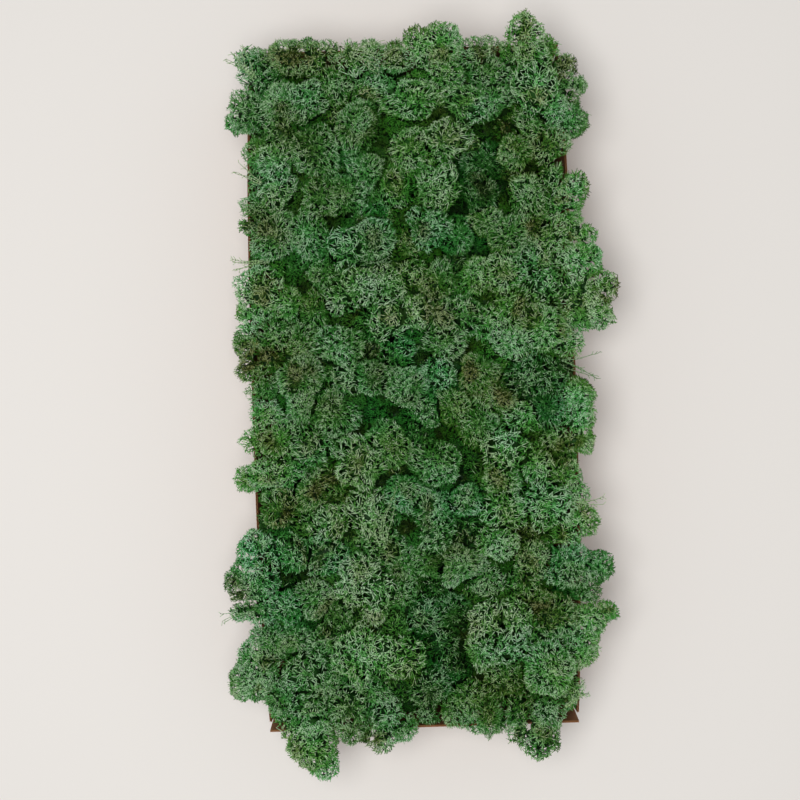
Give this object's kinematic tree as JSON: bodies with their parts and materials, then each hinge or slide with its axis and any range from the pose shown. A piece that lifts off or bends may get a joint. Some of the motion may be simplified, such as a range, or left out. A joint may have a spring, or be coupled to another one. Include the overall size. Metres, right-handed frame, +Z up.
{
  "type": "reindeer moss clump",
  "caption": "Low open tray of corrugated board packed with clumps of preserved reindeer moss, whose domed branching heads spill over its rim.",
  "frame": {"origin": "middle of the tray's underside", "axes": "+Z up out of the tray's mouth, +Y along its length"},
  "size_m": [0.3418, 0.6413, 0.142],
  "materials": {
    "kraft_board": "plain brown corrugated board, matt",
    "moss_green": "mid green, dry and matt, pale at the tips",
    "moss_light": "bright leaf green, dry and matt, pale at the tips",
    "moss_sage": "pale sage green, dry and matt",
    "moss_teal": "blue-green, dry and matt",
    "moss_olive": "green with olive and brown tips, dry and matt",
    "moss_dark": "deep green, dry and matt"
  },
  "bodies": {
    "root": {"board_tray": "kraft_board", "moss_clump_01": "moss_green", "moss_clump_02": "moss_olive", "moss_clump_03": "moss_sage", "moss_clump_04": "moss_light", "moss_clump_05": "moss_green", "moss_clump_06": "moss_light", "moss_clump_07": "moss_green", "moss_clump_08": "moss_green", "moss_clump_09": "moss_sage", "moss_clump_10": "moss_green", "moss_clump_11": "moss_light", "moss_clump_12": "moss_sage", "moss_clump_13": "moss_dark", "moss_clump_14": "moss_olive", "moss_clump_15": "moss_olive", "moss_clump_16": "moss_light", "moss_clump_17": "moss_green", "moss_clump_18": "moss_teal", "moss_clump_19": "moss_olive", "moss_clump_20": "moss_teal", "moss_clump_21": "moss_light", "moss_clump_22": "moss_sage", "moss_clump_23": "moss_light", "moss_clump_24": "moss_olive", "moss_clump_25": "moss_sage", "moss_clump_26": "moss_green", "moss_clump_27": "moss_green", "moss_clump_28": "moss_teal", "moss_clump_29": "moss_green", "moss_clump_30": "moss_light", "moss_clump_31": "moss_dark", "moss_clump_32": "moss_olive", "moss_clump_33": "moss_light", "moss_clump_34": "moss_light", "moss_clump_35": "moss_light", "moss_clump_36": "moss_green", "moss_clump_37": "moss_sage", "moss_clump_38": "moss_light", "moss_clump_39": "moss_olive", "moss_clump_40": "moss_sage", "moss_clump_41": "moss_teal", "moss_clump_42": "moss_teal", "moss_clump_43": "moss_teal", "moss_clump_44": "moss_sage", "moss_clump_45": "moss_green", "moss_clump_46": "moss_olive", "moss_clump_47": "moss_teal", "moss_clump_48": "moss_green", "moss_clump_49": "moss_dark", "moss_clump_50": "moss_sage", "moss_clump_51": "moss_light", "moss_clump_52": "moss_light", "moss_clump_53": "moss_green", "moss_clump_54": "moss_green", "moss_clump_55": "moss_light", "moss_clump_56": "moss_olive", "moss_clump_57": "moss_green"}
  },
  "joints": []
}
